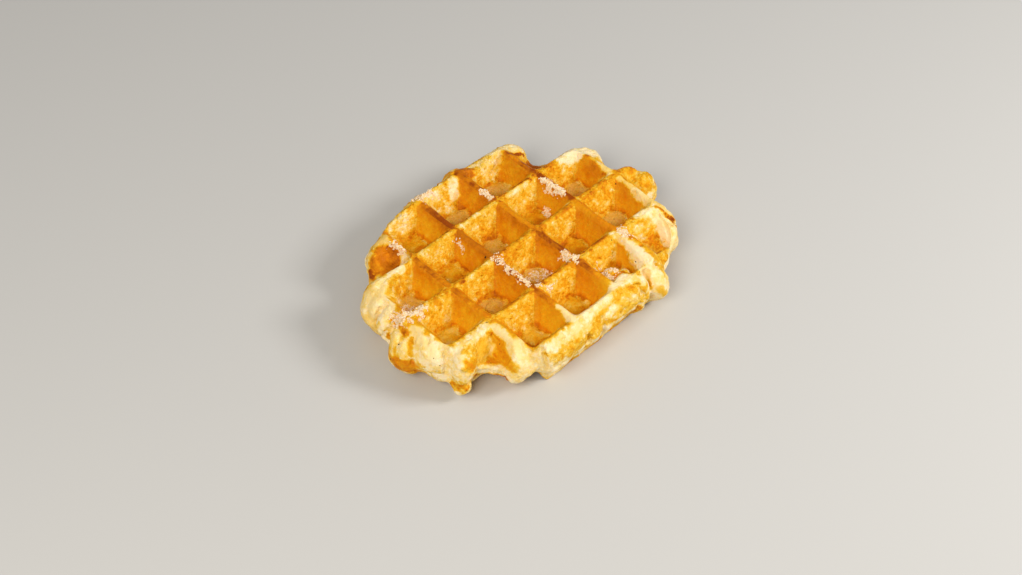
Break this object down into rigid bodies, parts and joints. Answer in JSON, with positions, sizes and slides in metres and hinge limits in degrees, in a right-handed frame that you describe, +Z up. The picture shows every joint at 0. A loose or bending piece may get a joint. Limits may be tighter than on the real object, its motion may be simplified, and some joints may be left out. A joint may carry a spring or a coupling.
{
  "type": "belgian waffle",
  "caption": "Oval baked waffle with a grid of deep square pockets on both faces and an uneven lobed edge.",
  "frame": {"origin": "bottom centre of the waffle's bounding box, on the surface that it rests on", "axes": "+X along the waffle's length and its rows of pockets, +Y across the rows towards the end row with fewest whole pockets, +Z up through its thickness"},
  "size_m": [0.1508, 0.1099, 0.025],
  "materials": {
    "crust": "matte golden-brown baked crust, pale cream at the free edge"
  },
  "bodies": {
    "root": {"waffle": "crust"}
  },
  "joints": []
}
